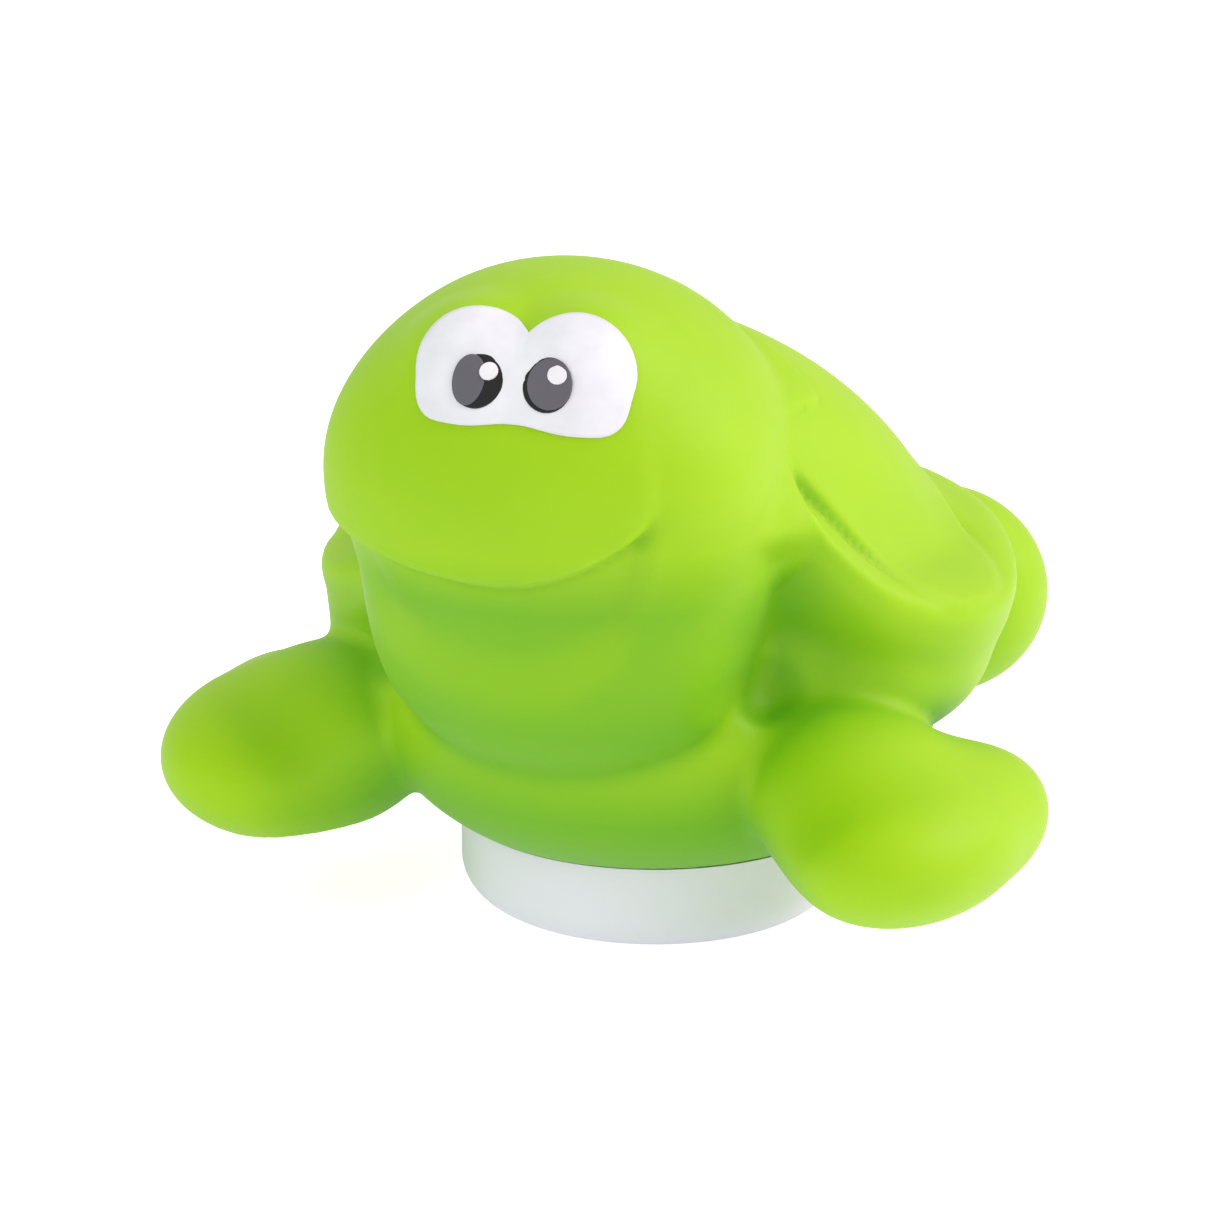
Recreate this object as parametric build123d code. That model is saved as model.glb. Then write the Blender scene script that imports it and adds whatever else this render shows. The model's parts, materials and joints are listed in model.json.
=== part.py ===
from build123d import *
import math
import os

# Floating pool thermometer: a hollow soft-vinyl turtle on a round white base that holds a bimetal
# dial thermometer, read through a window in the base's underside.
# Millimetres. Origin: centre of the base's underside. +Z up, the turtle faces -Y, its left is +X.

# ---- Float: one moulding, shaped as overlapping ellipsoids --------------------------------------
# Each lobe: centre, radii, turn about X, Y, Z in degrees. A lobe off the middle has a mirrored twin.
VINYL_T = 2.2
LOBES = {
    "belly": ((0, 1, 32.5), (44, 45, 25.5), (0, 0, 0)),
    "chest": ((0, -31, 49.5), (31, 25, 29), (0, 0, 0)),
    "head": ((0, -32, 77.5), (32, 29.5, 27), (0, 0, 0)),
    "snout": ((0, -46.5, 78), (30, 18.5, 20.5), (0, 0, 0)),
    "shell": ((0, 5.5, 56.5), (41.5, 53.5, 30), (-33, 0, 0)),
    "shell_rim": ((0, -3.5, 46.5), (51.5, 42, 15), (0, 0, 0)),
    "rear_flipper": ((30, 45.5, 40.5), (18, 17, 17), (0, 0, 0)),
    "shoulder": ((40, -21.5, 28.5), (14.5, 13.5, 12), (0, 0, 0)),
    "front_flipper": ((50.5, -24, 24.5), (17.5, 26, 11), (0, -10, 0)),
}
BALL_R = 10.0                     # sphere that every lobe is stretched from
BALL_FLAT = 9.95                  # its poles are cut flat at this distance from its middle

# ---- Base: housing and cap ----------------------------------------------------------------------
BASE_R = 30.0
EDGE_R = 6.5                      # rounding of the base's lower edge
SHOULDER_Z = 13.9                 # top of the housing's wall
FLOOR_T = 2.2
BORE_R = 27.6                     # inside of the housing's wall
INNER_EDGE_R = 4.5
WINDOW_R = 19.0                   # opening in the floor
WINDOW_CHAMFER = 0.8
RIB_T = 0.6                       # rib that locates the window and the dial
RIB_Z = 8.8
STACK_R = 21.7                    # window, bezel, dial and movement plate
STACK_GAP = 0.2
POCKET_R = STACK_R + STACK_GAP

CAP_Z = 10.8                      # underside of the cap
CAP_GAP = 0.2
NECK_R = 22.2
NECK_TOP_Z = 22.4
NECK_IN_R = 20.0
NECK_ROOF_T = 2.0

SCREW_PCR = 24.3                  # cap screws
SCREW_COUNT = 4
SCREW_R = 1.1
SCREW_HEAD_R = 1.9
SCREW_HEAD_H = 1.2
SCREW_TIP_Z = 4.4
BOSS_R = 3.8
THREAD_GAP = 0.05

EYE_T = 3.4                       # tether eyelet behind the base
EYE_R = 3.4
EYE_HOLE_R = 1.75
EYE_Y = 34.2
EYE_Z = 7.2

# ---- Twist lock between base and float ----------------------------------------------------------
SEAT_GAP = 0.3
SEAT_Z = SHOULDER_Z + SEAT_GAP    # flat under the belly
SEAT_CUT_R = 36.0
COLLAR_R = 26.0                   # belly opening
COLLAR_BORE_R = NECK_R + 0.3
LEDGE_T = 4.0
COLLAR_TOP_Z = 21.6
COLLAR_RIM_R = 24.8
FLANGE_R = 28.6
FLANGE_T = 1.2
LUG_COUNT = 3
LUG_R = 24.3
LUG_H = 2.5
LUG_HALF = 12.0                   # degrees
LOCK_AT = 30.0                    # middle of the first lug
TWIST = 40.0                      # travel from locked to open
STOP_GAP = 1.0                    # degrees

# ---- Seals and ballast --------------------------------------------------------------------------
SEAT_SEAL_R = (28.3, 29.3)
SEAT_SEAL_DEPTH = 0.8
SEAT_SEAL_LIFT = 0.22
CAP_SEAL_R = 0.7
CAP_GROOVE_R = 26.0
CAP_SEAL_Z = 12.3
GROOVE_CLEAR = 0.05
BALLAST_IN_R = 22.8
BALLAST_R = 27.2
BALLAST_TOP_Z = 10.5
BALLAST_FOOT = 0.2
BALLAST_BEVEL = 4.2
BALLAST_GAP = 0.3

# ---- Dial stack, from the window up -------------------------------------------------------------
GASKET_T = 0.7
LENS_T = 1.6
LENS_BOSS_R = WINDOW_R - 0.3
LENS_BOTTOM_Z = 0.9
BEZEL_H = 4.2
BEZEL_IN_R = (19.4, 18.2)         # at the window, at the dial
DIAL_T = 0.6
PLATE_T = 1.4
LENS_Z = FLOOR_T + GASKET_T
BEZEL_Z = LENS_Z + LENS_T
DIAL_Z = BEZEL_Z + BEZEL_H
PLATE_Z = DIAL_Z + DIAL_T
PLATE_TOP_Z = PLATE_Z + PLATE_T
DIAL_HOLE_R = 2.0

DIAL_SCREW_R = 0.8
DIAL_SCREW_HEAD_R = 1.6
DIAL_SCREW_HEAD_H = 0.8
DIAL_SCREW_PCR = 14.0
DIAL_SCREW_AT = 157.0             # degrees either side of the dial's top

# ---- Movement -----------------------------------------------------------------------------------
ARBOR_R = 0.6
ARBOR_Z = (6.2, 19.0)
BUSH_R = 1.6
BUSH_FLANGE_R = 2.4
BUSH_FLANGE_T = 0.6
BUSH_BORE_R = ARBOR_R + 0.05
NEEDLE_Z = 6.6
NEEDLE_T = 0.6
NEEDLE_TIP = 15.5
NEEDLE_TAIL = 4.8
NEEDLE_HALF = (0.35, 1.0, 1.3)    # half width at the tip, the hub and the tail
HUB_R = 1.7
HUB_TOP_Z = 8.0
SWEEP = 135.0                     # pointer travel either side of the dial's top
STOP_PIN_R = 0.5
STOP_PIN_PCR = 6.0
STOP_PIN_Z = 5.8
STOP_PIN_CLEAR = 0.3

COIL_Z = 12.0
COIL_H = 3.0
COIL_T = 0.4
COIL_PITCH = 1.9
COIL_TURNS = 4                    # whole turns, before the last quarter
COLLET_R = 2.2
COLLET_Z = (11.8, 15.2)
COLLET_GAP = 0.1
TAB_L = 2.0                       # straight outer end of the coil
ANCHOR_SIZE = (2.2, 2.4)
ANCHOR_TOP_Z = 15.6

PILLAR_X = 13.0
PILLAR_R = 1.8
PILLAR_HOLE_R = 1.0
BRIDGE_Z = 16.6
BRIDGE_T = 1.2
BRIDGE_W = 6.0
BRIDGE_SCREW_R = 0.9
BRIDGE_SCREW_HEAD = (1.9, 1.4)    # radius, height
BRIDGE_SCREW_TIP_Z = 9.6
SLOT_W = 0.5                      # screwdriver slots
SLOT_DEPTH = 0.5


# ---- Shared shapes ------------------------------------------------------------------------------
def rod(radius, low, high, x=0.0, y=0.0):
    """An upright cylinder from height low to height high."""
    return Pos(x, y, low) * extrude(Circle(radius), high - low)


def ring(inner, outer, low, high):
    """An upright ring about the Z axis."""
    return rod(outer, low, high) - rod(inner, low, high)


def turned(*points):
    """A closed outline of (radius, height) points turned about the Z axis."""
    return revolve(Plane.XZ * make_face(Polyline(*points, close=True)), Axis.Z)


def sector(inner, outer, low, high, middle, half):
    """Part of a ring: half degrees either side of the direction middle."""
    reach = 2 * outer
    a, b = math.radians(middle - half), math.radians(middle + half)
    wedge = Polyline(
        (0, 0),
        (reach * math.cos(a), reach * math.sin(a)),
        (reach * math.cos(b), reach * math.sin(b)),
        close=True,
    )
    return ring(inner, outer, low, high) & Pos(0, 0, low) * extrude(make_face(wedge), high - low)


def around(radius, degrees):
    """The point at that radius and direction from +X."""
    angle = math.radians(degrees)
    return radius * math.cos(angle), radius * math.sin(angle)


def on_dial(radius, degrees):
    """The point at that radius, measured from the dial's top, which is towards the head (-Y)."""
    return around(radius, degrees - 90)


def screw_places():
    """Centres of the cap screws."""
    return [around(SCREW_PCR, 45 + 360 / SCREW_COUNT * i) for i in range(SCREW_COUNT)]


def write(name, shape):
    """Writes one node. A list becomes one node of several separate solids."""
    if isinstance(shape, list):
        shape = Compound(children=shape)
    export_step(shape, os.path.join("parts", name + ".step"))


# ---- Float --------------------------------------------------------------------------------------
def lobe(centre, radii, turn, inset):
    """One ellipsoid, inset all round. Two tiny flats, along its X, leave it without poles."""
    slab = Box(4 * BALL_R, 4 * BALL_R, 2 * BALL_FLAT)
    ball = Rot(0, 90, 0) * (Sphere(BALL_R) & slab)
    stretched = scale(ball, by=tuple((r - inset) / BALL_R for r in radii))
    return Location(centre, turn) * stretched


def lobes(inset):
    """All the lobes as one solid."""
    made = []
    for (x, y, z), radii, (rx, ry, rz) in LOBES.values():
        made.append(lobe((x, y, z), radii, (rx, ry, rz), inset))
        if x:
            made.append(lobe((-x, y, z), radii, (rx, -ry, -rz), inset))
    return made[0].fuse(*made[1:])


def turtle_body():
    """The hollow moulding, cut flat under the belly, with a round opening for the collar."""
    outside = lobes(0) - rod(SEAT_CUT_R, 0, SEAT_Z)
    hollow = lobes(VINYL_T) - rod(SEAT_CUT_R, 0, SEAT_Z + VINYL_T)
    return outside - hollow - rod(COLLAR_R, SEAT_Z, SEAT_Z + VINYL_T)


def float_collar():
    """Rigid ring in the belly opening: a ledge with entry slots, and blocks that stop the lugs."""
    ledge_z = SEAT_Z + LEDGE_T
    flange_z = SEAT_Z + VINYL_T
    body = turned(
        (COLLAR_BORE_R, SEAT_Z),
        (COLLAR_R, SEAT_Z),
        (COLLAR_R, flange_z),
        (FLANGE_R, flange_z),
        (FLANGE_R, flange_z + FLANGE_T),
        (COLLAR_R, flange_z + FLANGE_T),
        (COLLAR_R, COLLAR_TOP_Z),
        (COLLAR_RIM_R, COLLAR_TOP_Z),
        (COLLAR_RIM_R, ledge_z),
        (COLLAR_BORE_R, ledge_z),
    )
    pitch = 360 / LUG_COUNT
    block_half = (pitch - 2 * LUG_HALF - TWIST) / 2 - STOP_GAP
    for i in range(LUG_COUNT):
        open_at = LOCK_AT - TWIST + pitch * i
        block_at = LOCK_AT + LUG_HALF + STOP_GAP + block_half + pitch * i
        top = COLLAR_TOP_Z - (COLLAR_TOP_Z - ledge_z) / 6
        body += sector(COLLAR_BORE_R, COLLAR_RIM_R + 0.2, ledge_z, top, block_at, block_half)
        body -= sector(COLLAR_BORE_R - 1, LUG_R + 0.2, SEAT_Z, ledge_z, open_at, LUG_HALF + STOP_GAP)
    return body


# ---- Base ---------------------------------------------------------------------------------------
def eyelet():
    """Tab with a hole for a tether, behind the base."""
    tab = Box(EYE_T, EYE_Y - BORE_R, 2 * EYE_R, align=(Align.CENTER, Align.MIN, Align.CENTER))
    end = Rot(0, 90, 0) * Cylinder(EYE_R, EYE_T)
    return Pos(0, BORE_R + 1, EYE_Z) * tab + Pos(0, EYE_Y, EYE_Z) * end


def base_housing():
    """The white cup: rounded lower edge, window opening, rib round the dial, screw bosses."""
    rim_r = BASE_R - EDGE_R
    inner_r = BORE_R - INNER_EDGE_R
    outer_mid = around(EDGE_R, -45)
    inner_mid = around(INNER_EDGE_R, -45)
    inner_z = FLOOR_T + INNER_EDGE_R
    outline = (
        Polyline((rim_r, 0), (WINDOW_R + WINDOW_CHAMFER, 0), (WINDOW_R, WINDOW_CHAMFER),
                 (WINDOW_R, FLOOR_T), (inner_r, FLOOR_T))
        + ThreePointArc((inner_r, FLOOR_T),
                        (inner_r + inner_mid[0], inner_z + inner_mid[1]), (BORE_R, inner_z))
        + Polyline((BORE_R, inner_z), (BORE_R, SHOULDER_Z), (BASE_R, SHOULDER_Z), (BASE_R, EDGE_R))
        + ThreePointArc((BASE_R, EDGE_R),
                        (rim_r + outer_mid[0], EDGE_R + outer_mid[1]), (rim_r, 0))
    )
    cup = revolve(Plane.XZ * make_face(outline), Axis.Z)
    cup += ring(POCKET_R, POCKET_R + RIB_T, FLOOR_T, RIB_Z)
    for x, y in screw_places():
        cup += rod(BOSS_R, FLOOR_T, CAP_Z, x, y) & rod(BORE_R + RIB_T, FLOOR_T, CAP_Z)
    cup -= rod(POCKET_R, FLOOR_T, CAP_Z)
    for x, y in screw_places():
        cup -= rod(SCREW_R + THREAD_GAP, SCREW_TIP_Z - SLOT_DEPTH, CAP_Z, x, y)
    cup -= ring(*SEAT_SEAL_R, SHOULDER_Z - SEAT_SEAL_DEPTH, SHOULDER_Z)
    cup += eyelet() - rod(BORE_R + 1, 0, SHOULDER_Z)
    return cup - Pos(0, EYE_Y, EYE_Z) * Rot(0, 90, 0) * Cylinder(EYE_HOLE_R, 2 * EYE_T)


def base_cap():
    """Plug that closes the housing, with the neck and the lugs that lock into the collar."""
    plug_r = BORE_R - CAP_GAP
    groove_half = CAP_SEAL_R + GROOVE_CLEAR
    cap = turned(
        (NECK_IN_R, CAP_Z),
        (plug_r, CAP_Z),
        (plug_r, CAP_SEAL_Z - groove_half),
        (CAP_GROOVE_R, CAP_SEAL_Z - groove_half),
        (CAP_GROOVE_R, CAP_SEAL_Z + groove_half),
        (plug_r, CAP_SEAL_Z + groove_half),
        (plug_r, SHOULDER_Z),
        (NECK_R, SHOULDER_Z),
        (NECK_R, NECK_TOP_Z),
        (0, NECK_TOP_Z),
        (0, NECK_TOP_Z - NECK_ROOF_T),
        (NECK_IN_R, NECK_TOP_Z - NECK_ROOF_T),
    )
    lug_z = SEAT_Z + LEDGE_T + SEAT_GAP
    for i in range(LUG_COUNT):
        at = LOCK_AT + 360 / LUG_COUNT * i
        cap += sector(NECK_R - 1, LUG_R, lug_z, lug_z + LUG_H, at, LUG_HALF)
    for x, y in screw_places():
        cap -= rod(SCREW_R + 2 * THREAD_GAP, CAP_Z, SHOULDER_Z, x, y)
        cap -= Pos(x, y, SHOULDER_Z - SCREW_HEAD_H / 2) * Cone(
            SCREW_R + THREAD_GAP, SCREW_HEAD_R + THREAD_GAP, SCREW_HEAD_H
        )
    return cap


def cap_screws():
    """Countersunk screws with a straight slot."""
    made = []
    for x, y in screw_places():
        head = Pos(x, y, SHOULDER_Z - SCREW_HEAD_H / 2) * Cone(SCREW_R, SCREW_HEAD_R, SCREW_HEAD_H)
        slot = Pos(x, y, SHOULDER_Z) * Box(2 * BOSS_R, SLOT_W, 2 * SLOT_DEPTH)
        made.append(head + rod(SCREW_R, SCREW_TIP_Z, SHOULDER_Z - SCREW_HEAD_H / 2, x, y) - slot)
    return made


def ballast_weights():
    """Steel arcs round the rib, one between each two screw bosses."""
    foot_r = BALLAST_IN_R + BALLAST_FOOT
    whole = turned(
        (BALLAST_IN_R, FLOOR_T),
        (foot_r, FLOOR_T),
        (BALLAST_R, FLOOR_T + BALLAST_BEVEL),
        (BALLAST_R, BALLAST_TOP_Z),
        (BALLAST_IN_R, BALLAST_TOP_Z),
    )
    for x, y in screw_places():
        whole -= rod(BOSS_R + BALLAST_GAP, FLOOR_T, BALLAST_TOP_Z, x, y)
    return sorted(whole.solids(), key=lambda s: math.atan2(s.center().Y, s.center().X))


def o_ring(middle_r, section_r, height):
    return Pos(0, 0, height) * Torus(middle_r, section_r)


# ---- Window and dial ----------------------------------------------------------------------------
def window_lens():
    """Clear window: a flange in the housing and a boss that nearly fills the opening."""
    flange = rod(STACK_R, LENS_Z, BEZEL_Z)
    return flange + rod(LENS_BOSS_R, LENS_BOTTOM_Z, LENS_Z)


def bezel_ring():
    """Spacer between window and dial, with a sloped inner wall."""
    return turned((BEZEL_IN_R[0], BEZEL_Z), (STACK_R, BEZEL_Z), (STACK_R, DIAL_Z), (BEZEL_IN_R[1], DIAL_Z))


def dial_screw_places():
    """Centres of the dial screws."""
    return [on_dial(DIAL_SCREW_PCR, side * DIAL_SCREW_AT) for side in (-1, 1)]


def stop_pin_places():
    """Centres of the stop pins: the needle ends its travel just short of them."""
    share = STOP_PIN_PCR / NEEDLE_TIP
    needle_half = NEEDLE_HALF[1] + share * (NEEDLE_HALF[0] - NEEDLE_HALF[1])
    off = needle_half + STOP_PIN_CLEAR + STOP_PIN_R
    past_end = math.degrees(math.asin(off / STOP_PIN_PCR))
    return [on_dial(STOP_PIN_PCR, side * (SWEEP + past_end)) for side in (-1, 1)]


def dial_plate():
    dial = ring(DIAL_HOLE_R, STACK_R, DIAL_Z, PLATE_Z)
    for x, y in dial_screw_places():
        dial -= rod(DIAL_SCREW_R + THREAD_GAP, DIAL_Z, PLATE_Z, x, y)
    for x, y in stop_pin_places():
        dial -= rod(STOP_PIN_R, DIAL_Z, PLATE_Z, x, y)
    return dial


def dial_screws():
    """Low pan-head screws, heads down, that hold the dial to the movement plate."""
    made = []
    for x, y in dial_screw_places():
        head_z = DIAL_Z - DIAL_SCREW_HEAD_H
        slot = Pos(x, y, head_z) * Box(4 * DIAL_SCREW_R, SLOT_W, SLOT_DEPTH)
        screw = rod(DIAL_SCREW_HEAD_R, head_z, DIAL_Z, x, y)
        screw += rod(DIAL_SCREW_R, DIAL_Z, PLATE_TOP_Z - SLOT_DEPTH, x, y)
        made.append(screw - slot)
    return made


def stop_pins():
    return [rod(STOP_PIN_R, STOP_PIN_Z, PLATE_Z, x, y) for x, y in stop_pin_places()]


# ---- Movement -----------------------------------------------------------------------------------
def movement_plate():
    plate = ring(BUSH_R, STACK_R, PLATE_Z, PLATE_TOP_Z)
    for x, y in dial_screw_places():
        plate -= rod(DIAL_SCREW_R + THREAD_GAP, PLATE_Z, PLATE_TOP_Z, x, y)
    for x in (-PILLAR_X, PILLAR_X):
        plate -= rod(BRIDGE_SCREW_R + THREAD_GAP, PLATE_Z, PLATE_TOP_Z, x)
    return plate


def bush(low, high):
    """Brass bearing pressed in from above, with a flange on top."""
    return ring(BUSH_BORE_R, BUSH_R, low, high) + ring(BUSH_BORE_R, BUSH_FLANGE_R, high, high + BUSH_FLANGE_T)


def bridge_pillar(x):
    return rod(PILLAR_R, PLATE_TOP_Z, BRIDGE_Z, x) - rod(PILLAR_HOLE_R, PLATE_TOP_Z, BRIDGE_Z, x)


def movement_bridge():
    """Flat bar with round ends across the two pillars."""
    bar = Pos(0, 0, BRIDGE_Z) * extrude(SlotCenterToCenter(2 * PILLAR_X, BRIDGE_W), BRIDGE_T)
    bar -= rod(BUSH_R, BRIDGE_Z, BRIDGE_Z + BRIDGE_T)
    for x in (-PILLAR_X, PILLAR_X):
        bar -= rod(PILLAR_HOLE_R, BRIDGE_Z, BRIDGE_Z + BRIDGE_T, x)
    return bar


def bridge_screws():
    made = []
    head_r, head_h = BRIDGE_SCREW_HEAD
    top = BRIDGE_Z + BRIDGE_T
    for x in (-PILLAR_X, PILLAR_X):
        slot = Pos(x, 0, top + head_h) * Box(2 * head_r + 1, SLOT_W, 2 * SLOT_DEPTH)
        screw = rod(BRIDGE_SCREW_R, BRIDGE_SCREW_TIP_Z, top, x) + rod(head_r, top, top + head_h, x)
        made.append(screw - slot)
    return made


def coil_radii():
    """Offset of the half turns' centres, and the radius of the first half turn."""
    offset = COIL_PITCH / 4
    return offset, COLLET_R + COLLET_GAP + COIL_T / 2 + offset


def coil_end():
    """Middle of the strip where the last quarter turn ends."""
    offset, first_r = coil_radii()
    return -offset, first_r + COIL_TURNS * COIL_PITCH


def bimetal_coil():
    """Flat spiral of half turns, each half a pitch larger, and a straight tab at the outer end."""
    offset, first_r = coil_radii()
    reach = 2 * (first_r + COIL_TURNS * COIL_PITCH)
    strips = []
    for i in range(2 * COIL_TURNS + 1):
        upper = i % 2 == 0
        r = first_r + i * COIL_PITCH / 2
        arc = Circle(r + COIL_T / 2) - Circle(r - COIL_T / 2)
        cut = Rectangle(2 * reach, reach, align=(Align.CENTER, Align.MIN if upper else Align.MAX))
        if i == 2 * COIL_TURNS:
            cut = Rectangle(reach, reach, align=(Align.MIN, Align.MIN))
        strips.append(Pos(-offset if upper else offset, 0) * (arc & cut))
    end_x, end_y = coil_end()
    tab = Rectangle(TAB_L, COIL_T, align=(Align.MAX, Align.CENTER))
    strips.append(Pos(end_x, end_y) * tab)
    solids = [Pos(0, 0, COIL_Z) * extrude(s, COIL_H) for s in strips]
    return solids[0].fuse(*solids[1:])


def coil_anchor():
    """Post on the plate with a slot that grips the coil's outer end."""
    end_x, end_y = coil_end()
    width, depth = ANCHOR_SIZE
    x = end_x - width / 2 - (TAB_L - width / 2) / 2
    height = ANCHOR_TOP_Z - PLATE_TOP_Z
    up = (Align.CENTER, Align.CENTER, Align.MIN)
    post = Pos(x, end_y, PLATE_TOP_Z) * Box(width, depth, height, align=up)
    return post - Pos(x, end_y, COIL_Z) * Box(2 * width, COIL_T, height, align=up)


def coil_collet():
    return ring(ARBOR_R, COLLET_R, *COLLET_Z)


def pointer():
    """Needle with a counterweight tail and a raised hub."""
    tip, middle, tail = NEEDLE_HALF
    outline = Polyline(
        (tip, -NEEDLE_TIP), (middle, 0), (tail, NEEDLE_TAIL),
        (-tail, NEEDLE_TAIL), (-middle, 0), (-tip, -NEEDLE_TIP), close=True,
    )
    needle = Pos(0, 0, NEEDLE_Z) * extrude(make_face(outline), NEEDLE_T)
    needle += rod(HUB_R, ARBOR_Z[0], HUB_TOP_Z)
    return needle - rod(ARBOR_R, ARBOR_Z[0], HUB_TOP_Z)


# ---- Write every node ---------------------------------------------------------------------------
os.makedirs("parts", exist_ok=True)

write("turtle_body", turtle_body())
write("float_collar", float_collar())
write("base_housing", base_housing())
write("base_cap", base_cap())
write("cap_screws", cap_screws())
write("cap_seal", o_ring(CAP_GROOVE_R + CAP_SEAL_R + GROOVE_CLEAR, CAP_SEAL_R, CAP_SEAL_Z))
write("seat_seal", ring(*SEAT_SEAL_R, SHOULDER_Z - SEAT_SEAL_DEPTH, SHOULDER_Z + SEAT_SEAL_LIFT))
for number, weight in enumerate(ballast_weights(), 1):
    write(f"ballast_weight_{number}", weight)
write("window_gasket", ring(WINDOW_R + GASKET_T / 2, STACK_R, FLOOR_T, LENS_Z))
write("window_lens", window_lens())
write("bezel_ring", bezel_ring())
write("dial_plate", dial_plate())
write("dial_screws", dial_screws())
write("stop_pins", stop_pins())
write("movement_plate", movement_plate())
write("front_bush", bush(PLATE_Z, PLATE_TOP_Z))
write("bridge_pillar_left", bridge_pillar(PILLAR_X))
write("bridge_pillar_right", bridge_pillar(-PILLAR_X))
write("movement_bridge", movement_bridge())
write("rear_bush", bush(BRIDGE_Z, BRIDGE_Z + BRIDGE_T))
write("bridge_screws", bridge_screws())
write("bimetal_coil", bimetal_coil())
write("coil_anchor", coil_anchor())
write("coil_collet", coil_collet())
write("arbor", rod(ARBOR_R, *ARBOR_Z))
write("pointer", pointer())
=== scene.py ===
import json
import math

import bpy
import numpy as np
import openvdb
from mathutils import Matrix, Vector
from mathutils.bvhtree import BVHTree


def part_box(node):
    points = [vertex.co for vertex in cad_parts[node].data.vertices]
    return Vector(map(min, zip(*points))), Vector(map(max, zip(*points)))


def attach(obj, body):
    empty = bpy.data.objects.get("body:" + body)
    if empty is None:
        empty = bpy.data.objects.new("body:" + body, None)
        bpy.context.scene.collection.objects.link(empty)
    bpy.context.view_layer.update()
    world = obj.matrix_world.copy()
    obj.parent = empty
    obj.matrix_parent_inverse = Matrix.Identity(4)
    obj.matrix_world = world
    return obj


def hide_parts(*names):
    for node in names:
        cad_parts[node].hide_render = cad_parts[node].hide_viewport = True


# Looks for the floating pool thermometer: a soft-vinyl turtle on a white base with a dial under it.
# The turtle is sculpted here as a smooth field in millimetres, in the part's own frame
# (origin at the centre of the base's underside, +Z up, the turtle faces -Y, its left is +X).

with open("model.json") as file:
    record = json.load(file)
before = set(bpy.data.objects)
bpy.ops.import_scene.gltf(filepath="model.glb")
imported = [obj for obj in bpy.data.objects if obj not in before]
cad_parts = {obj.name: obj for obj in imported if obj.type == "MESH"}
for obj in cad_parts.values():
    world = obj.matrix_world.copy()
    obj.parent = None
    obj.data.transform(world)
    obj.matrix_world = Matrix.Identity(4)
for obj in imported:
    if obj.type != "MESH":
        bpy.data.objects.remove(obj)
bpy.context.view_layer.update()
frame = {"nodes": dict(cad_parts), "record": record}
MM = 0.001

VOXEL = 0.9        # mm, the spacing of the skin's mesh
GRID_MARGIN = 4.0
SLOPE_REACH = 0.05                        # how far apart the field is read to find its slope
SNAP_STEPS = 3

# ---- Places read from the frame, in millimetres -------------------------------------------------
body_low, body_high = (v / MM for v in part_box("turtle_body"))
collar_low, collar_high = (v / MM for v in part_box("float_collar"))
CAP_TOP_Z = (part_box("base_cap")[1] / MM).z
DIAL_Z = (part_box("dial_plate")[0] / MM).z  # the dial's face, which looks down
SEAT_Z = collar_low.z                     # flat under the belly
FLANGE_R = collar_high.x                  # the collar's flange sits above the vinyl
FLANGE_OVERLAP = 2.5                      # how far the vinyl reaches in under it
WEB_T = 2.2                               # vinyl under the flange
WEB_CUT = 1                               # how far past that vinyl the opening is cut
FLANGE_GAP = 0.6                          # free room round the flange
CAP_ROOM = 1.5                            # free room over the cap


# ---- Field helpers ------------------------------------------------------------------------------
def smooth_min(a, b, k):
    """Union of two fields, blended over the distance k."""
    h = np.maximum(k - np.abs(a - b), 0.0) / k
    return np.minimum(a, b) - h * h * k * 0.25


def smooth_max(a, b, k):
    """Intersection of two fields, blended over the distance k."""
    return -smooth_min(-a, -b, k)


def step(low, high, value):
    """0 below low, 1 above high, smooth between them."""
    t = np.clip((value - low) / (high - low), 0.0, 1.0)
    return t * t * (3.0 - 2.0 * t)


def local(p, centre, turn_x=0.0, turn_y=0.0, turn_z=0.0):
    """Points in the axes of a shape at centre, turned about X, then Y, then Z, in degrees."""
    x, y, z = p[0] - centre[0], p[1] - centre[1], p[2] - centre[2]
    for axis, degrees in ((2, turn_z), (1, turn_y), (0, turn_x)):
        if degrees:
            c, s = math.cos(math.radians(degrees)), math.sin(math.radians(degrees))
            if axis == 2:
                x, y = c * x + s * y, -s * x + c * y
            elif axis == 1:
                x, z = c * x - s * z, s * x + c * z
            else:
                y, z = c * y + s * z, -s * y + c * z
    return x, y, z


def ellipsoid(p, centre, radii, *turn):
    """Nearly the distance to an ellipsoid's surface, negative inside."""
    x, y, z = local(p, centre, *turn)
    rx, ry, rz = radii
    near = np.sqrt((x / rx) ** 2 + (y / ry) ** 2 + (z / rz) ** 2)
    slope = np.sqrt((x / rx**2) ** 2 + (y / ry**2) ** 2 + (z / rz**2) ** 2)
    return near * (near - 1.0) / np.maximum(slope, 1e-6)


def crease(across, depth, width, lift=0.0, reach=6.0):
    """Change of a field near a line: a groove where across is 0, and a lip raised where it is above 0."""
    groove = depth * np.exp(-((across / width) ** 2))
    lip = lift * step(-width, width, across) * np.exp(-np.maximum(across, 0.0) / reach)
    return groove - lip


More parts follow.
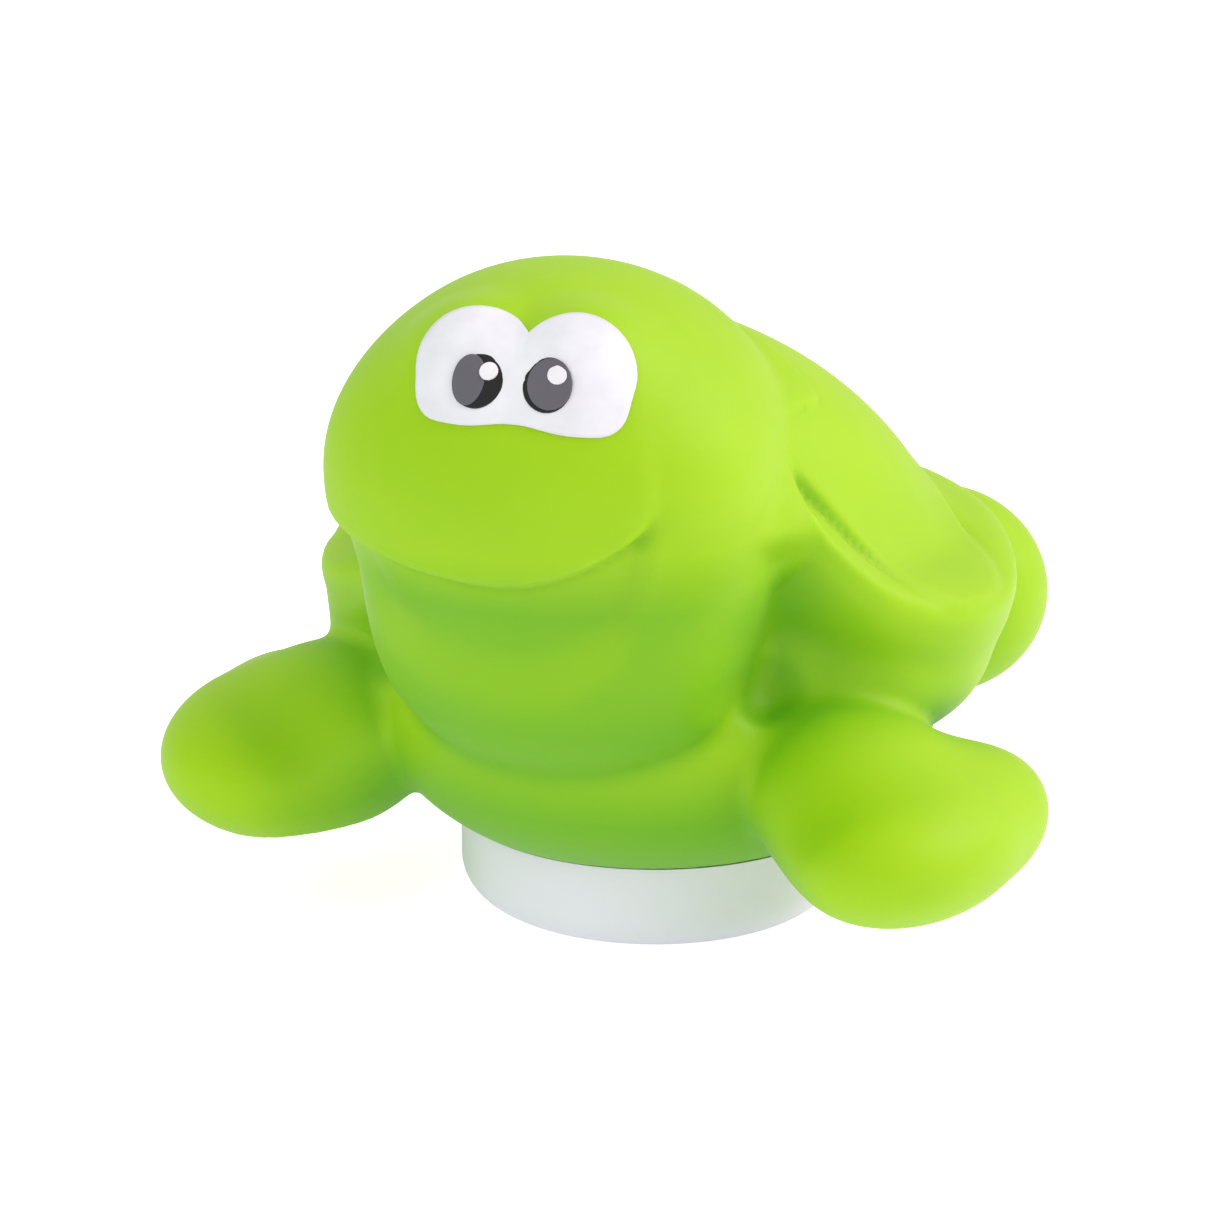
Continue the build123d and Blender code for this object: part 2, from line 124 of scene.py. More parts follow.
# ---- The turtle's shape, as a field in millimetres ----------------------------------------------
# A lobe is the centre, the radii and the turns of an ellipsoid. A lobe off the middle has a mirrored
# twin. "far" is 1 on the turtle's right, which is a little different, and 0 on its left.
HEAD_PIVOT = (0.0, -32.0, 77.5)
HEAD_TURN = 9.3                           # the head looks a little to its left
SKULL = ((0, 0, 0), (32, 29.5, 27.4))     # lobes of the head are in its own axes
SNOUT = ((0, -14.5, 0.5), (28.9, 18.5, 20.5))
EYE_SWELL = ((8.0, -17.0, 12.5), (10.0, 10.5, 12.0), 30.0)
SMILE_MIDDLE = -3.0                       # degrees round the head
SMILE_Z = -12.8                           # below the middle of the head
SMILE_RISE = (0.002, 0.0065)              # to the head's right and left
SMILE_NEAR = 22.0                         # how far from the line it still shapes the face
SMILE_CORNER = (19.5, -29.0, -3.4)        # dimple at the smile's left end
DIMPLE_R = 2.2
DIMPLE_DEPTH = 0.8

CHEST = ((0, -31, 52.5), (30.5, 24.0, 23.5))
BELLY = ((0, 1, 32.5), (43.4, 45, 25.7))
REAR_FLIPPER = ((30.4, 45.5, 40.5), (18.1, 17, 17))
SHOULDER = ((39.5, -22.5, 29.6), (15.3, 14.5, 12.1))
BLADE_CENTRE = (50.5, -24.0, 23.6)
BLADE_TURN = (-4.0, -10.0, 5.0)
TIP = ((57.8, -13.0, 26.0), (7.5, 8.5, 6.5))

SHELL_CENTRE = (0.0, 5.5, 56.8)
SHELL_PITCH = -34.2
DOME_R = (41.3, 54.3, 30)
RIM_Y = 3.0                               # where the rim is widest
RIM_X = 48.2                              # half of its width
RIM_BEHIND = 46.0                         # its reach behind RIM_Y
RIM_AHEAD = 36.0                          # and ahead of it
RIM_SCALE = 42.0                          # turns the rim's relative distance into mm
RIM_R = 5.0
RIM_Z = 49.5


def head_field(h):
    """Head and snout, with swells over the eyes. h is in the head's own axes."""
    x, y, z = h
    head = smooth_min(ellipsoid(h, *SKULL), ellipsoid(h, *SNOUT), 10.0)
    return smooth_min(head, ellipsoid((np.abs(x), y, z), *EYE_SWELL), 4.0)


def smile(h):
    """Height above the line of the mouth, and how strong the line is there."""
    x, y, z = h
    angle = np.degrees(np.arctan2(x, -y))
    off = angle - SMILE_MIDDLE
    line = SMILE_Z + np.where(off > 0, SMILE_RISE[1], SMILE_RISE[0]) * off**2
    strength = step(-70.0, -50.0, angle) * step(37.0, 31.0, angle) * step(0.0, -8.0, y)
    return z - line, strength


def front_field(p, m):
    """Chest and head in one, with the smile and its dimple. m is p with x taken as positive."""
    h = local(p, HEAD_PIVOT, 0.0, 0.0, HEAD_TURN)
    front = smooth_min(ellipsoid(m, *CHEST), head_field(h), 12.0)
    above, strength = smile(h)
    near = step(SMILE_NEAR, 10.0, np.abs(above))
    lip = crease(above, depth=0.9, width=0.9, lift=1.4, reach=7.0)
    front = front + strength * near * (lip + 1.5 * step(2.0, -1.0, above))
    corner = np.sqrt(sum((h[i] - SMILE_CORNER[i]) ** 2 for i in range(3)))
    return front + DIMPLE_DEPTH * np.exp(-((corner / DIMPLE_R) ** 2))


def shell_field(m, far):
    """Domed shell over the flanks of the body, with the grooves between its scutes."""
    x, y, z = m
    s = local(m, SHELL_CENTRE, SHELL_PITCH)
    dome = ellipsoid(s, (0, 0, 0), DOME_R)
    flank_centre = (0, 0.5, 41.0 - 1.5 * far)
    flank_r = (51.4 + 0.6 * far, 40.0 + 8.0 * step(-12.0, 12.0, y), 17.3)
    shell = smooth_min(dome, ellipsoid(m, flank_centre, flank_r), 5.0)

    plate_front = (y + 24.0) * 0.83 + (z - 72.6) * 0.56
    plate_low = z - 53.4
    plate_rear = 10.0 - s[1] + 0.004 * (40.0 - x) ** 2
    plate = smooth_min(smooth_min(plate_low, plate_rear, 14.0), plate_front, 3.0)
    shell = shell + crease(plate, depth=0.9, width=0.9, lift=1.2, reach=14.0)

    neck_edge = -8.5 - 3.5 * (x / 30.0) ** 2 - y
    neck_scute = smooth_min(neck_edge, z - 83.2, 2.0)
    return shell + crease(neck_scute, depth=0.3, width=0.8, lift=0.9, reach=10.0)


def rim_field(m, far):
    """Ridge round the shell, which climbs to the neck and the tail, and how softly it joins."""
    x, y, z = m
    ahead = np.minimum(y - RIM_Y, 0.0) / (RIM_AHEAD - 2.5 * far * step(52.0, 60.0, z))
    behind = np.maximum(y - RIM_Y, 0.0) / RIM_BEHIND
    out = np.sqrt((x / RIM_X) ** 2 + ahead**2 + behind**2)
    level = RIM_Z - 2.0 * far * step(0.0, -20.0, y)
    to_neck = (16.0 - 13.0 * far) * np.exp(-np.maximum(y + 27.0, 0.0) / 7.0)
    rise = level + to_neck + 5.0 * step(8.0, 40.0, y)
    rim = np.sqrt(((out - 1.0) * RIM_SCALE) ** 2 + (z - rise) ** 2) - RIM_R
    blend = 3.5 + 4.0 * step(-28.0, -20.0, y) + 8.0 * step(-2.0, 4.0, z - rise)
    return rim, blend


def hollow_field(m, far):
    """The hollow between chest, rim and front flipper, shallower on the right, and how softly it is cut."""
    x, y, z = m
    back = y + 23.0 + 3.0 * far + 0.12 * (z - 48.0) - 0.1 * (x - 30.0)
    side = 26.0 + 0.3 * (z - 45.0) - x
    height = smooth_max(z - 61.0, 38.5 - z, 3.0)
    hollow = smooth_max(smooth_max(back, side, 4.0), height, 9.0)
    return hollow, 3.0 + 5.0 * step(29.0, 37.0, x)


def front_flipper_field(m, far):
    """Shoulder, blade and tip of a front flipper."""
    blade_r = (17.0 + 0.2 * far, 25.3 + 0.4 * far, 11.5 + 1.4 * far)
    blade = ellipsoid(m, BLADE_CENTRE, blade_r, *BLADE_TURN)
    arm = smooth_min(ellipsoid(m, *SHOULDER), blade, 8.0)
    return smooth_min(arm, ellipsoid(m, *TIP), 8.0)


def turtle_field(p):
    """Negative inside the turtle."""
    x, y, z = p
    m = (np.abs(x), y, z)
    far = step(10.0, -10.0, x)

    body = smooth_min(ellipsoid(m, *BELLY), front_field(p, m), 2.5)
    body = smooth_min(body, shell_field(m, far), 1.4)
    hollow, hollow_blend = hollow_field(m, far)
    body = smooth_max(body, -hollow, hollow_blend)
    body = smooth_min(body, *rim_field(m, far))
    body = smooth_min(body, ellipsoid(m, *REAR_FLIPPER), 2.0)
    body = smooth_min(body, front_flipper_field(m, far), 2.5)

    body = np.maximum(body, SEAT_Z - z)
    radius = np.sqrt(x * x + y * y)
    opening = np.maximum(radius - (FLANGE_R - FLANGE_OVERLAP), z - (SEAT_Z + WEB_T + WEB_CUT))
    pocket = np.maximum(radius - (FLANGE_R + FLANGE_GAP), z - (CAP_TOP_Z + CAP_ROOM))
    pocket = np.maximum(pocket, (SEAT_Z + WEB_T) - z)
    return np.maximum(body, -np.minimum(opening, pocket))


def add_object(name, data):
    """A new object with that data, in the scene."""
    obj = bpy.data.objects.new(name, data)
    bpy.context.scene.collection.objects.link(obj)
    return obj


def mesh_from_field(name, field, low, high, voxel):
    """A closed mesh of the field's zero surface, with its points then moved onto that surface."""
    low = np.array(low) - GRID_MARGIN
    count = np.ceil((np.array(high) + GRID_MARGIN - low) / voxel).astype(int)
    axes = [low[i] + voxel * np.arange(count[i], dtype=np.float32) for i in range(3)]
    p = (axes[0][:, None, None], axes[1][None, :, None], axes[2][None, None, :])
    values = np.broadcast_to(field(p), tuple(count)).astype(np.float32)
    grid = openvdb.FloatGrid()
    grid.copyFromArray(np.ascontiguousarray(values))
    points, quads = grid.convertToQuads(isovalue=0.0)
    points = np.array(points, np.float64) * voxel + low
    for _ in range(SNAP_STEPS):
        at = field(tuple(points.T))
        slope = np.stack([
            (field(tuple((points + d).T)) - field(tuple((points - d).T))) / (2 * SLOPE_REACH)
            for d in np.eye(3) * SLOPE_REACH
        ], axis=1)
        size = np.maximum((slope**2).sum(1), 0.1)
        move = slope * (at / size)[:, None]
        length = np.linalg.norm(move, axis=1, keepdims=True)
        points -= move * np.minimum(1.0, 0.5 * voxel / np.maximum(length, 1e-9))
    mesh = bpy.data.meshes.new(name)
    mesh.from_pydata(points * MM, [], quads.tolist())
    mesh.validate()
    mesh.update()
    mesh.shade_smooth()
    return add_object(name, mesh)


# ---- Materials ----------------------------------------------------------------------------------
def srgb(r, g, b):
    """Linear colour from a screen colour of 0 to 255."""
    shares = (c / 255 for c in (r, g, b))
    return tuple(((c + 0.055) / 1.055) ** 2.4 if c > 10 / 255 else c / 12.92 for c in shares) + (1.0,)


def new_material(name, **sockets):
    """A Principled material with those constants on its sockets, its nodes, links and shader."""
    mat = bpy.data.materials.new(name)
    mat.use_nodes = True
    nodes, links = mat.node_tree.nodes, mat.node_tree.links
    shader = nodes["Principled BSDF"]
    for socket, value in sockets.items():
        shader.inputs[socket.replace("_", " ")].default_value = value
    return mat, nodes, links, shader


def grained(name, low, high, scale, roughness, grain=900.0, bump=0.15,
            stretch=(1, 1, 1), depth=0.2, **sockets):
    """Slow colour drift, uneven gloss and a surface grain depth mm deep, from noise in object space."""
    mat, nodes, links, shader = new_material(name, **sockets)
    where = nodes.new("ShaderNodeTexCoord")
    drawn = nodes.new("ShaderNodeMapping")
    drawn.inputs["Scale"].default_value = stretch
    links.new(where.outputs["Object"], drawn.inputs["Vector"])
    drift = nodes.new("ShaderNodeTexNoise")
    drift.inputs["Scale"].default_value = scale
    drift.inputs["Detail"].default_value = 3.0
    links.new(drawn.outputs["Vector"], drift.inputs["Vector"])
    ramp = nodes.new("ShaderNodeValToRGB")
    for element, position, colour in zip(ramp.color_ramp.elements, (0.35, 0.65), (low, high)):
        element.position = position
        element.color = srgb(*colour)
    links.new(drift.outputs["Fac"], ramp.inputs["Fac"])
    links.new(ramp.outputs["Color"], shader.inputs["Base Color"])
    gloss = nodes.new("ShaderNodeMapRange")
    gloss.inputs["To Min"].default_value, gloss.inputs["To Max"].default_value = roughness
    links.new(drift.outputs["Fac"], gloss.inputs["Value"])
    links.new(gloss.outputs["Result"], shader.inputs["Roughness"])
    fine = nodes.new("ShaderNodeTexNoise")
    fine.inputs["Scale"].default_value = grain
    fine.inputs["Detail"].default_value = 4.0
    links.new(drawn.outputs["Vector"], fine.inputs["Vector"])
    relief = nodes.new("ShaderNodeBump")
    relief.inputs["Strength"].default_value = bump
    relief.inputs["Distance"].default_value = depth * MM
    links.new(fine.outputs["Fac"], relief.inputs["Height"])
    links.new(relief.outputs["Normal"], shader.inputs["Normal"])
    return mat


def turned(name, low, high, roughness, pitch, **sockets):
    """Metal with fine turning marks round Z, pitch mm apart, over the grain."""
    mat = grained(name, low, high, 120.0, roughness, 1500.0, 0.1, **sockets)
    nodes, links = mat.node_tree.nodes, mat.node_tree.links
    marks = nodes.new("ShaderNodeTexWave")
    marks.wave_type = "RINGS"
    marks.rings_direction = "Z"
    marks.inputs["Scale"].default_value = math.pi / (10.0 * pitch * MM)
    marks.inputs["Distortion"].default_value = 0.6
    links.new(nodes["Texture Coordinate"].outputs["Object"], marks.inputs["Vector"])
    ridges = nodes.new("ShaderNodeBump")
    ridges.inputs["Strength"].default_value = 0.2
    ridges.inputs["Distance"].default_value = 0.02 * MM
    links.new(marks.outputs["Fac"], ridges.inputs["Height"])
    links.new(nodes["Bump"].outputs["Normal"], ridges.inputs["Normal"])
    links.new(ridges.outputs["Normal"], nodes["Principled BSDF"].inputs["Normal"])
    return mat


def paint(name, colour, roughness):
    """Thin brushed-on paint: slightly uneven tone and gloss."""
    low = tuple(c * 0.96 for c in colour)
    return grained(name, low, colour, 180.0, (roughness, roughness + 0.08), 1400.0, 0.12, depth=0.05)


def deepened(mat, colour, reach, underside):
    """Painted shade: mixes a darker colour into folds, over reach mm, and into the low middle where it
    faces down.
    """
    nodes, links = mat.node_tree.nodes, mat.node_tree.links

    def mapped(source, from_range, to_range):
        node = nodes.new("ShaderNodeMapRange")
        for end, value in zip(("From Min", "From Max", "To Min", "To Max"), from_range + to_range):
            node.inputs[end].default_value = value
        links.new(source, node.inputs["Value"])
        return node.outputs["Result"]

    def maths(operation, a, b=None):
        node = nodes.new("ShaderNodeMath")
        node.operation = operation
        links.new(a, node.inputs[0])
        if b is not None:
            links.new(b, node.inputs[1])
        return node.outputs["Value"]

    # Ambient occlusion finds the folds and hollows, which get painted shade.
    hollow = nodes.new("ShaderNodeAmbientOcclusion")
    hollow.inputs["Distance"].default_value = reach * MM
    hollow.only_local = True
    where = nodes["Texture Coordinate"]
    facing, place = nodes.new("ShaderNodeSeparateXYZ"), nodes.new("ShaderNodeSeparateXYZ")
    links.new(where.outputs["Normal"], facing.inputs["Vector"])
    links.new(where.outputs["Object"], place.inputs["Vector"])
    # Downward-facing surfaces of the low middle get painted shade as well.
    under = mapped(facing.outputs["Z"], (0.4, -0.5), (0.0, underside))
    middle = mapped(maths("ABSOLUTE", place.outputs["X"]), (32.0 * MM, 46.0 * MM), (1.0, 0.0))
    low = mapped(place.outputs["Z"], (60.0 * MM, 70.0 * MM), (1.0, 0.0))
    shaded = maths("MULTIPLY", maths("MULTIPLY", under, middle), low)
    painted_shade_amount = maths("MAXIMUM", mapped(hollow.outputs["AO"], (0.9, 0.3), (0.0, 1.0)), shaded)
    mix = nodes.new("ShaderNodeMix")
    mix.data_type = "RGBA"
    colours = [i for i in mix.inputs if i.type == "RGBA"]
    colours[1].default_value = srgb(*colour)
    links.new(painted_shade_amount, mix.inputs[0])
    links.new(nodes["Color Ramp"].outputs["Color"], colours[0])
    mixed = [o for o in mix.outputs if o.type == "RGBA"][0]
    links.new(mixed, nodes["Principled BSDF"].inputs["Base Color"])
    return mat


METAL = {"Metallic": 1.0}
# The vinyl carries painted shade: a darker green in its folds and under its low middle.
vinyl = deepened(
    grained("vinyl", (156, 208, 1), (163, 213, 2), 30.0, (0.48, 0.56), 900.0, 0.15,
            Subsurface_Weight=0.25, Subsurface_Radius=(0.6, 1.0, 0.1), Subsurface_Scale=0.004,
            Specular_IOR_Level=0.34, Sheen_Weight=0.06, Sheen_Roughness=0.4),
    colour=(92, 174, 14), reach=60.0, underside=0.75)
finishes = {
    "collar_plastic": grained(
        "collar_plastic", (86, 122, 36), (94, 130, 40), 60.0, (0.45, 0.55), 1200.0, 0.2),
    "white_plastic": grained(
        "base_plastic", (234, 234, 246), (238, 238, 249), 20.0, (0.28, 0.36), 700.0, 0.1,
        Coat_Weight=0.1),
    "seal_rubber": grained(
        "seal_rubber", (22, 22, 23), (34, 34, 35), 300.0, (0.75, 0.9), 1600.0, 0.4),
    "steel": turned(
        "screw_steel", (176, 178, 182), (196, 198, 201), (0.22, 0.34), 0.15, **METAL),
    "ballast_steel": grained(
        "ballast_zinc", (150, 154, 160), (188, 192, 197), 260.0, (0.38, 0.56), 1200.0, 0.3, **METAL),
    "clear_window": grained(
        "clear_window", (250, 252, 255), (255, 255, 255), 40.0, (0.02, 0.05), 500.0, 0.02,
        Transmission_Weight=1.0, IOR=1.58),
    "bezel_plastic": grained(
        "bezel_plastic", (24, 62, 128), (30, 72, 142), 90.0, (0.38, 0.48), 1300.0, 0.2),
    "dial_white": grained(
        "dial_card", (240, 240, 234), (248, 248, 243), 400.0, (0.55, 0.65), 2600.0, 0.12, depth=0.05),
    "brass": turned(
        "turned_brass", (202, 160, 78), (222, 182, 98), (0.22, 0.34), 0.2, **METAL),
    "movement_plastic": grained(
        "movement_nylon", (36, 37, 40), (56, 57, 60), 900.0, (0.5, 0.62), 1800.0, 0.25),
    "bridge_aluminium": grained(
        "brushed_aluminium", (190, 192, 196), (212, 214, 217), 300.0, (0.3, 0.42), 1500.0, 0.25,
        stretch=(0.06, 1, 1), depth=0.05, **METAL),
    "bimetal": grained(
        "rolled_bimetal", (172, 160, 138), (196, 184, 160), 400.0, (0.26, 0.38), 1800.0, 0.2,
        stretch=(1, 1, 8), depth=0.05, **METAL),
    "pointer_red": grained(
        "pointer_enamel", (196, 22, 18), (208, 28, 22), 220.0, (0.3, 0.4), 1500.0, 0.15, depth=0.05),
}
black_paint = paint("eye_black", (18, 18, 20), 0.22)
grey_paint = paint("eye_grey", (98, 98, 104), 0.3)
glint_paint = paint("eye_glint", (245, 246, 248), 0.25)

for part in frame["record"]["subparts"]:
    if part["node"] != "turtle_body":
        slots = frame["nodes"][part["node"]].data.materials
        slots.clear()
        slots.append(finishes[part["material_slot"]])


# ---- Pieces -------------------------------------------------------------------------------------
skin = mesh_from_field("turtle_skin", turtle_field, body_low, body_high, VOXEL)
skin.data.materials.append(vinyl)
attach(skin, "float")
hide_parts("turtle_body")


# ---- Painted eyes -------------------------------------------------------------------------------
EYE_TILT = 31.0                           # degrees that the eyes face up
EYE_REACH = 60.0                          # rays start this far in front of the head's middle
EYE_SHIFT = 1.5                           # to the head's left
EYE_ROLL = 0.035                          # how much the head's left side of the eyes hangs lower
EYE_STEPS = (10, 96)                      # rings and spokes of an eye patch
RING_CROWDING = 1.6                       # above 1, rings crowd towards the edge
PAD_SUNK = 0.3                            # the patch's edge, under the skin
PAD_BACK = 1.0                            # the middle of its back, under the skin
PUPIL_V = -1.75
GLINT_SHIFT = 1.3                         # up, and to the head's left, from the pupil's middle
WHITE_U, WHITE_V = 6.9, 1.1               # middle of one half of the white, from the middle of the face
WHITE_R = (8.4, 8.7)
CHEEK_U, CHEEK_V, CHEEK_R = 10.9, -3.8, 3.6    # its squarer lower corner
WHITE_BLEND = 2.0
surface = BVHTree.FromObject(skin, bpy.context.evaluated_depsgraph_get())


def face_point(u, v):
    """Where the line at (u across, v up) on the face meets the skin, in metres, and the skin's normal."""
    tilt, turn = math.radians(EYE_TILT), math.radians(HEAD_TURN)
    ahead = (0.0, -math.cos(tilt), math.sin(tilt))
    x = u
    y = v * math.sin(tilt) + EYE_REACH * ahead[1]
    z = v * math.cos(tilt) + EYE_REACH * ahead[2]

    def to_world(a, b, c):
        return Vector((a * math.cos(turn) - b * math.sin(turn), a * math.sin(turn) + b * math.cos(turn), c))

    start = (to_world(x, y, z) + Vector(HEAD_PIVOT)) * MM
    spot, normal, _, _ = surface.ray_cast(start, -to_world(*ahead))
    return spot, normal


def white_edge(angle):
    """Distance from the middle of the eyes to the edge of the white, in the direction of angle."""
    c, s = math.cos(angle), math.sin(angle)
    low, high = 0.0, 30.0
    for _ in range(40):
        r = (low + high) / 2
        u, v = abs(r * c), r * s + EYE_ROLL * r * c
        eye = (math.hypot((u - WHITE_U) / WHITE_R[0], (v - WHITE_V) / WHITE_R[1]) - 1.0) * WHITE_R[0]
        cheek = math.hypot(max(u - CHEEK_U, 0.0), v - CHEEK_V) - CHEEK_R
        inside = smooth_min(eye, cheek, WHITE_BLEND)
        low, high = (r, high) if inside < 0 else (low, r)
    return low


def round_edge(radius_u, radius_v):
    """A function that gives the same distance for an ellipse."""
    def edge(angle):
        return radius_u * radius_v / math.hypot(radius_v * math.cos(angle), radius_u * math.sin(angle))
    return edge


def face_patch(name, centre, edge, height, crown, material):
    """A thin closed pad that follows the skin: its rim is sunk, its middle height + crown proud."""
    rings, spokes = EYE_STEPS
    middle, outward = face_point(*centre)
    verts = [middle + outward * (height + crown) * MM]
    for i in range(1, rings + 1):
        share = 1.0 - (1.0 - i / rings) ** RING_CROWDING
        for j in range(spokes):
            angle = 2 * math.pi * j / spokes
            r = edge(angle) * share
            spot, normal = face_point(centre[0] + r * math.cos(angle), centre[1] + r * math.sin(angle))
            lift = (height + crown * (1 - share**2)) if i < rings else -PAD_SUNK
            verts.append(spot + normal * lift * MM)
    verts.append(middle - outward * PAD_BACK * MM)

    faces = [(0, 1 + j, 1 + (j + 1) % spokes) for j in range(spokes)]
    for i in range(rings - 1):
        for j in range(spokes):
            a, b = 1 + i * spokes + j, 1 + i * spokes + (j + 1) % spokes
            faces.append((a, a + spokes, b + spokes, b))
    last, behind = 1 + (rings - 1) * spokes, 1 + rings * spokes
    for j in range(spokes):
        faces.append((behind, last + (j + 1) % spokes, last + j))

    mesh = bpy.data.meshes.new(name)
    mesh.from_pydata(verts, [], faces)
    mesh.validate()
    mesh.shade_smooth()
    mesh.materials.append(material)
    pad = add_object(name, mesh)
    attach(pad, "float")


face_patch("eye_white", (EYE_SHIFT, 0.0), white_edge, 0.35, 0.4,
           paint("eye_white", (236, 240, 243), 0.28))
# side, middle across the face, half width, and the grey iris's shift and half width
PUPILS = (
    ("right", -4.0, 3.6, -1.25, 2.25),
    ("left", 5.55, 3.4, 0.35, 3.05),
)
for label, u, half_width, grey_shift, grey_half_width in PUPILS:
    face_patch("pupil_dark_" + label, (u, PUPIL_V), round_edge(half_width, 3.85),
               0.7, 0.25, black_paint)
    face_patch("pupil_grey_" + label, (u + grey_shift, PUPIL_V + 0.1), round_edge(grey_half_width, 3.55),
               0.95, 0.15, grey_paint)
    face_patch("pupil_glint_" + label, (u + GLINT_SHIFT, PUPIL_V + GLINT_SHIFT), round_edge(1.25, 1.25),
               1.2, 0.1, glint_paint)


# ---- Dial print: thin ink on the dial's underside, read from below with its top towards -Y ------
INK_T = 0.04
INK_SUNK = 0.02
SCALE_TOP = 50                            # degrees Celsius at the end of the scale
SWEEP = 135.0                             # degrees of dial either side of its top
TICK_OUT = 17.7
TICK_IN = {1: 16.9, 5: 16.2, 10: 15.6}    # by the step of the scale
TICK_HALF = {1: 0.11, 5: 0.17, 10: 0.24}
NUMERAL_R = 12.9
NUMERAL_SIZE = 2.9
UNIT_PLACE = (0.0, -9.6)
SWIM_BAND = (26, 30)                      # degrees Celsius
BAND_R = (14.7, 15.3)


def dial_angle(value):
    """Angle from the dial's top to a temperature, in radians."""
    return math.radians((value / SCALE_TOP * 2.0 - 1.0) * SWEEP)


def raised(flat, faces, verts, polygons):
    """Adds a flat closed outline in dial axes (x right, y up as read) as a thin pad on the dial."""
    base = len(verts)
    for z in (DIAL_Z - INK_T, DIAL_Z + INK_SUNK):
        verts += [(x * MM, -y * MM, z * MM) for x, y in flat]
    n = len(flat)
    edges = {}
    for face in faces:
        for i, j in zip(face, face[1:] + face[:1]):
            edges[(i, j)] = edges.get((i, j), 0) + 1
    for face in faces:
        polygons.append([base + i for i in face])
        polygons.append([base + n + i for i in reversed(face)])
    for i, j in edges:
        if (j, i) not in edges:
            polygons.append([base + j, base + i, base + n + i, base + n + j])


def arc_pad(inner, outer, start, end, steps, verts, polygons):
    """A pad between two radii and two angles."""
    flat, faces = [], []
    for i in range(steps + 1):
        angle = start + (end - start) * i / steps
        flat += [(r * math.sin(angle), r * math.cos(angle)) for r in (inner, outer)]
    for i in range(steps):
        faces.append([2 * i, 2 * i + 1, 2 * i + 3, 2 * i + 2])
    raised(flat, faces, verts, polygons)


def text_pad(text, size, centre, verts, polygons):
    """Letters as pads, middled on centre."""
    curve = bpy.data.curves.new("numeral", "FONT")
    curve.body, curve.size = text, size
    curve.align_x, curve.align_y = "CENTER", "CENTER"
    curve.resolution_u = 6
    obj = add_object("numeral", curve)
    mesh = bpy.data.meshes.new_from_object(obj.evaluated_get(bpy.context.evaluated_depsgraph_get()))
    flat = [(v.co.x + centre[0], v.co.y + centre[1]) for v in mesh.vertices]
    raised(flat, [list(p.vertices) for p in mesh.polygons], verts, polygons)
    bpy.data.meshes.remove(mesh)
    bpy.data.objects.remove(obj)
    bpy.data.curves.remove(curve)


def ink_piece(name, verts, polygons, material):
    """One printed piece, which stays with the base."""
    mesh = bpy.data.meshes.new(name)
    mesh.from_pydata(verts, [], polygons)
    mesh.validate()
    mesh.materials.append(material)
    ink = add_object(name, mesh)
    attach(ink, "base")


scale_verts, scale_polygons = [], []
for value in range(SCALE_TOP + 1):
    kind = 10 if value % 10 == 0 else 5 if value % 5 == 0 else 1
    middle, half = dial_angle(value), TICK_HALF[kind] / TICK_OUT
    arc_pad(TICK_IN[kind], TICK_OUT, middle - half, middle + half, 1, scale_verts, scale_polygons)
    if kind == 10:
        place = (NUMERAL_R * math.sin(middle), NUMERAL_R * math.cos(middle))
        text_pad(str(value), NUMERAL_SIZE, place, scale_verts, scale_polygons)
text_pad("\u00b0C", NUMERAL_SIZE, UNIT_PLACE, scale_verts, scale_polygons)
ink_piece("dial_scale", scale_verts, scale_polygons, paint("dial_ink", (28, 34, 48), 0.5))
band_verts, band_polygons = [], []
arc_pad(*BAND_R, dial_angle(SWIM_BAND[0]), dial_angle(SWIM_BAND[1]), 24, band_verts, band_polygons)
ink_piece("dial_swim_band", band_verts, band_polygons, paint("dial_green_ink", (46, 150, 72), 0.5))


# ---- Floor, lights and camera -------------------------------------------------------------------
FLOOR_HALF = 3.0                          # metres
FLOOR_TONE = (0.93, 0.93, 0.93, 1.0)
FLOOR_GLOW = (0.2, 0.7)                   # on the object, and as the camera sees it
WORLD_LIGHT = (0.64, 1.0)
LIGHT_TARGET = (0, 0, 0.05)


def camera_split(nodes, links, values, socket):
    """Gives socket the first value for light, and the second for what the camera sees."""
    ray = nodes.new("ShaderNodeLightPath")
    level = nodes.new("ShaderNodeMapRange")
    level.inputs["To Min"].default_value, level.inputs["To Max"].default_value = values
    links.new(ray.outputs["Is Camera Ray"], level.inputs["Value"])
    links.new(level.outputs["Result"], socket)


corners = [(-1, -1), (1, -1), (1, 1), (-1, 1)]
floor_mesh = bpy.data.meshes.new("floor")
floor_mesh.from_pydata([(x * FLOOR_HALF, y * FLOOR_HALF, 0) for x, y in corners], [], [(0, 1, 2, 3)])
floor = add_object("floor", floor_mesh)
paper, paper_nodes, paper_links, paper_shader = new_material(
    "floor_paper", Base_Color=FLOOR_TONE, Roughness=0.9, Specular_IOR_Level=0.1,
    Emission_Color=(1.0, 1.0, 1.0, 1.0))
floor_mesh.materials.append(paper)
camera_split(paper_nodes, paper_links, FLOOR_GLOW, paper_shader.inputs["Emission Strength"])

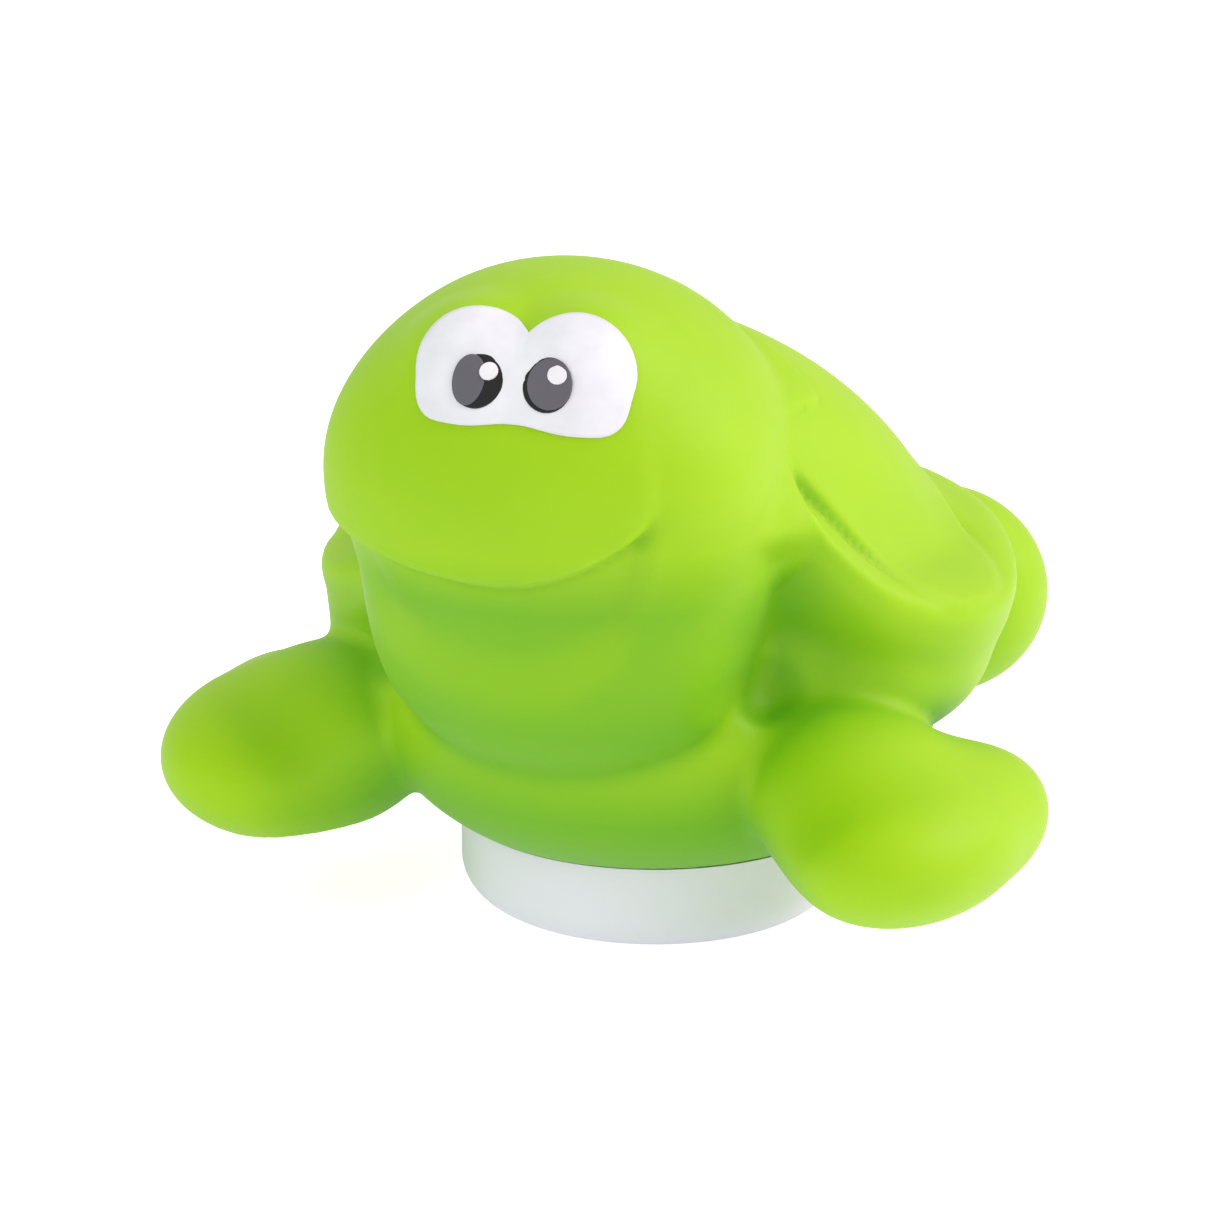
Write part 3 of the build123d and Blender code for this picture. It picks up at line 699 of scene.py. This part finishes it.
world = bpy.data.worlds.new("studio")
world.use_nodes = True
sky = world.node_tree.nodes["Background"]
sky.inputs["Color"].default_value = (1.0, 1.0, 1.0, 1.0)
camera_split(world.node_tree.nodes, world.node_tree.links, WORLD_LIGHT, sky.inputs["Strength"])
bpy.context.scene.world = world


def area_light(name, place, size, power, colour=(1.0, 1.0, 1.0), shines=True):
    """A square soft light aimed at the object. Without shines it gives no highlights."""
    lamp = bpy.data.lights.new(name, "AREA")
    lamp.size = size
    lamp.energy = power
    lamp.color = colour
    obj = add_object(name, lamp)
    obj.location = place
    obj.rotation_mode = "QUATERNION"
    obj.rotation_quaternion = (Vector(LIGHT_TARGET) - Vector(place)).to_track_quat("-Z", "Y")
    obj.visible_glossy = shines


area_light("key", (0.55, 0.15, 0.5), 0.7, 4.3, (1.0, 0.8, 0.9))
area_light("fill", (-0.35, -0.6, 0.5), 0.6, 1.5, shines=False)

CAMERA_AZIMUTH = 24.0                     # degrees, from straight ahead of the turtle to its left
CAMERA_ELEVATION = 16.0
CAMERA_DISTANCE = 0.52                    # metres, like the next two
CAMERA_RIGHT = -0.00724                   # where it aims: across and up the picture from the origin
CAMERA_UP = 0.0439
CAMERA_LENS = 97.9
CAMERA_SENSOR = 36.0

camera_data = bpy.data.cameras.new("camera")
camera_data.lens = CAMERA_LENS
camera_data.sensor_width = CAMERA_SENSOR
camera = add_object("camera", camera_data)
a, e = math.radians(CAMERA_AZIMUTH), math.radians(CAMERA_ELEVATION)
right = Vector((math.cos(a), math.sin(a), 0))
up = Vector((-math.sin(a) * math.sin(e), math.cos(a) * math.sin(e), math.cos(e)))
back = Vector((math.sin(a) * math.cos(e), -math.cos(a) * math.cos(e), math.sin(e)))
camera.location = CAMERA_RIGHT * right + CAMERA_UP * up + CAMERA_DISTANCE * back
camera.rotation_mode = "QUATERNION"
camera.rotation_quaternion = (-back).to_track_quat("-Z", "Y")
bpy.context.scene.camera = camera
bpy.context.scene.view_settings.view_transform = "Standard"
